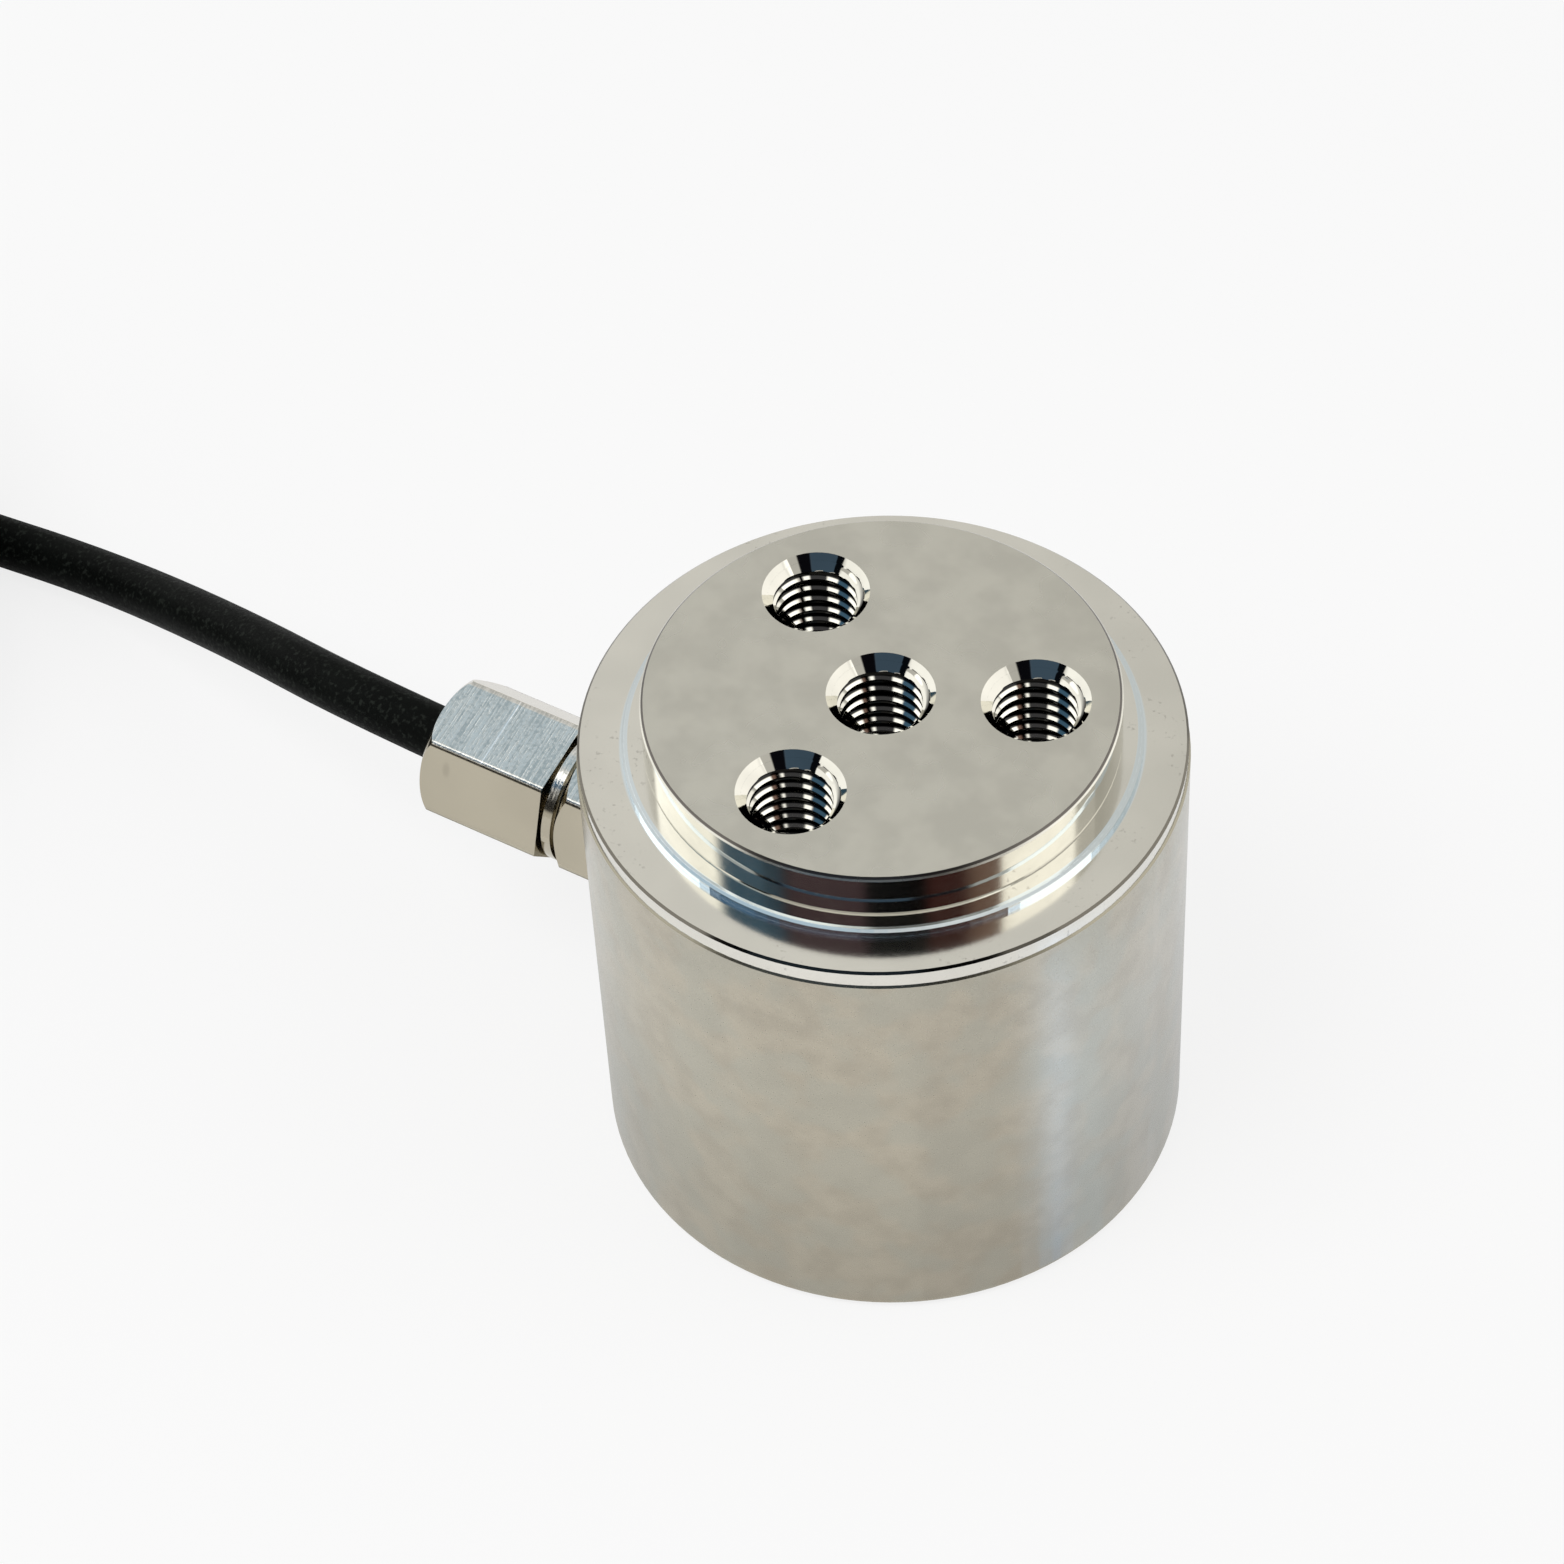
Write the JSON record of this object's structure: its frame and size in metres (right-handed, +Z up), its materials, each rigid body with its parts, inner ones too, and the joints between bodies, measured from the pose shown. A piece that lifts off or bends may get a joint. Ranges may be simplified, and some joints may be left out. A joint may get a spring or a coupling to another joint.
{
  "type": "button load cell",
  "caption": "Round compression load cell with tapped holes in its raised loading boss and in its base, and a side cable gland with its cable.",
  "frame": {"origin": "centre of the flat mounting face at the bottom of the body", "axes": "+Z up through the loading boss, -X out through the cable gland"},
  "size_m": [0.2123, 0.0845, 0.05],
  "materials": {
    "element_steel": "satin turned stainless steel, its side wall polished",
    "ring_steel": "fine turned stainless steel with a bright edge",
    "housing_steel": "satin stainless steel with faint mottling",
    "circuit_film": "amber flexible printed film",
    "enamelled_wire": "enamelled fine wire",
    "tinned_copper": "tinned copper strands",
    "solder": "bright solder",
    "washer_rubber": "black sealing washer",
    "plated_brass": "nickel plated brass, turned and milled",
    "nylon": "natural nylon",
    "seal_rubber": "black sealing rubber",
    "cable_jacket": "matt black cable jacket",
    "tie_plastic": "black cable tie",
    "shrink_sleeve": "black heat-shrink sleeve",
    "grey_insulation": "grey sleeve over the shield wire",
    "red_insulation": "red core insulation",
    "black_insulation": "black core insulation",
    "green_insulation": "green core insulation",
    "white_insulation": "white core insulation",
    "gauge_film": "amber gauge carrier film",
    "terminal_copper": "copper solder terminal",
    "resistor_ceramic": "chip resistor"
  },
  "bodies": {
    "root": {"bridge_circuit": "circuit_film", "bridge_wires": "enamelled_wire", "cable_coil": "cable_jacket", "cable_entry": "cable_jacket", "cable_tail": "cable_jacket", "cable_tube": "cable_jacket", "coil_tie_1": "tie_plastic", "coil_tie_2": "tie_plastic", "diaphragm_ring": "ring_steel", "end_boot": "shrink_sleeve", "gauge_terminal_1": "terminal_copper", "gauge_terminal_2": "terminal_copper", "gauge_terminal_3": "terminal_copper", "gauge_terminal_4": "terminal_copper", "gland_backing_ring": "nylon", "gland_body": "plated_brass", "gland_nut": "plated_brass", "gland_seal": "seal_rubber", "gland_washer": "washer_rubber", "housing_tube": "housing_steel", "inner_core_black": "black_insulation", "inner_core_green": "green_insulation", "inner_core_red": "red_insulation", "inner_core_white": "white_insulation", "inner_drain_wire": "tinned_copper", "lead_black": "black_insulation", "lead_drain": "grey_insulation", "lead_green": "green_insulation", "lead_red": "red_insulation", "lead_tips": "tinned_copper", "lead_white": "white_insulation", "solder_joints": "solder", "span_temperature_resistor": "resistor_ceramic", "span_trim_resistor": "resistor_ceramic", "spring_element": "element_steel", "strain_gauge_1": "gauge_film", "strain_gauge_2": "gauge_film", "strain_gauge_3": "gauge_film", "strain_gauge_4": "gauge_film", "zero_temperature_resistor": "resistor_ceramic", "zero_trim_resistor": "resistor_ceramic"}
  },
  "joints": []
}
